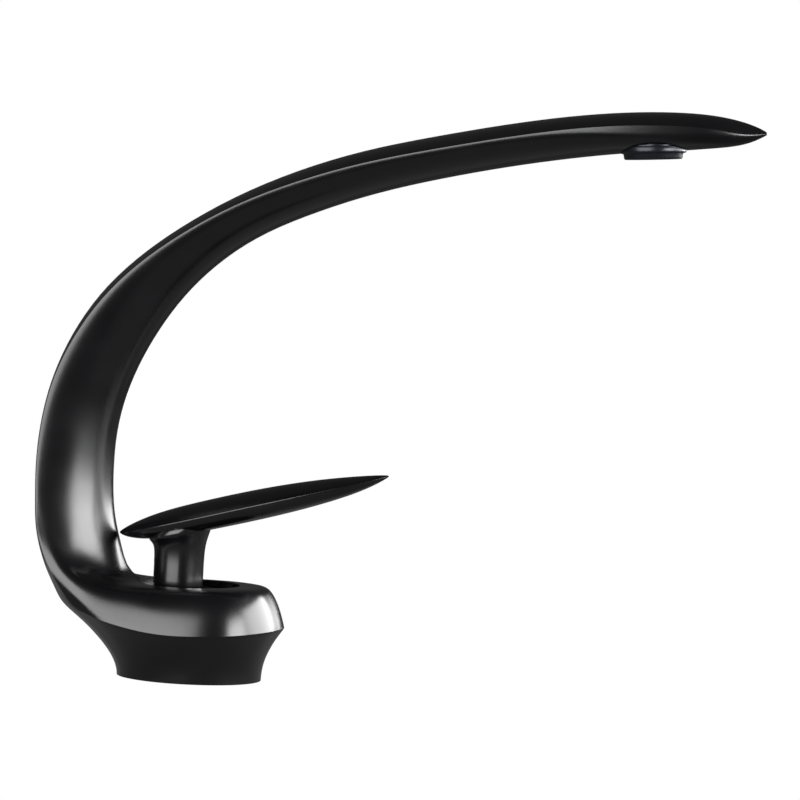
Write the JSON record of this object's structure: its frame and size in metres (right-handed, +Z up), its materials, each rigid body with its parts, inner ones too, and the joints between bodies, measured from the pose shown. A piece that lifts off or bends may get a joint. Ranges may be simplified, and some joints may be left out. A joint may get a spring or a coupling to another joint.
{
  "type": "bathroom mixer faucet",
  "caption": "Single-lever basin mixer with a flared round base and a crescent spout that rises behind it and ends in a point over an aerator.",
  "frame": {"origin": "centre of the base's flat underside, where it meets the deck", "axes": "+Z up, +X towards the side that the spout and the lever point to, so the middle plane is Y = 0"},
  "size_m": [0.2578, 0.0746, 0.2132],
  "materials": {
    "satin_black": "satin black coat on cast metal",
    "aerator_black": "semi-gloss black plated ring",
    "brass": "turned, uncoated",
    "steel": "fine turned",
    "ceramic": "lapped",
    "white_plastic": "moulded",
    "grey_plastic": "moulded",
    "rubber": "moulded"
  },
  "bodies": {
    "body": {"body_casting": "satin_black", "base_gasket": "rubber", "port_seal_hot": "rubber", "port_seal_cold": "rubber", "cartridge_base": "grey_plastic", "fixed_disc": "ceramic", "cartridge_housing": "grey_plastic", "cartridge_nut": "brass", "trim_cover": "satin_black", "aerator_housing": "aerator_black", "aerator_core": "grey_plastic", "aerator_screen": "steel", "aerator_washer": "rubber"},
    "guide": {"spindle_guide": "white_plastic", "spindle_pin": "steel"},
    "lever": {"lever_handle": "satin_black", "cartridge_spindle": "brass", "handle_screw": "steel", "screw_plug": "satin_black"},
    "disc": {"moving_disc": "ceramic", "disc_carrier": "white_plastic"}
  },
  "joints": [
    {"name": "temperature_turn", "type": "hinge", "parent": "body", "child": "guide", "pos_m": [-0.0018, 0, 0.021], "axis": [0, 0, 1], "range_deg": [-45, 45]},
    {"name": "flow_tilt", "type": "hinge", "parent": "guide", "child": "lever", "pos_m": [-0.0018, 0, 0.021], "axis": [0, 1, 0], "range_deg": [0, 24]},
    {"name": "disc_slide", "type": "slide", "parent": "guide", "child": "disc", "axis": [1, 0, 0], "range_m": [-0.00176, 0]}
  ],
  "couplings": [
    {"joint": "disc_slide", "follows": "flow_tilt", "m_per_rad": -0.0042}
  ]
}
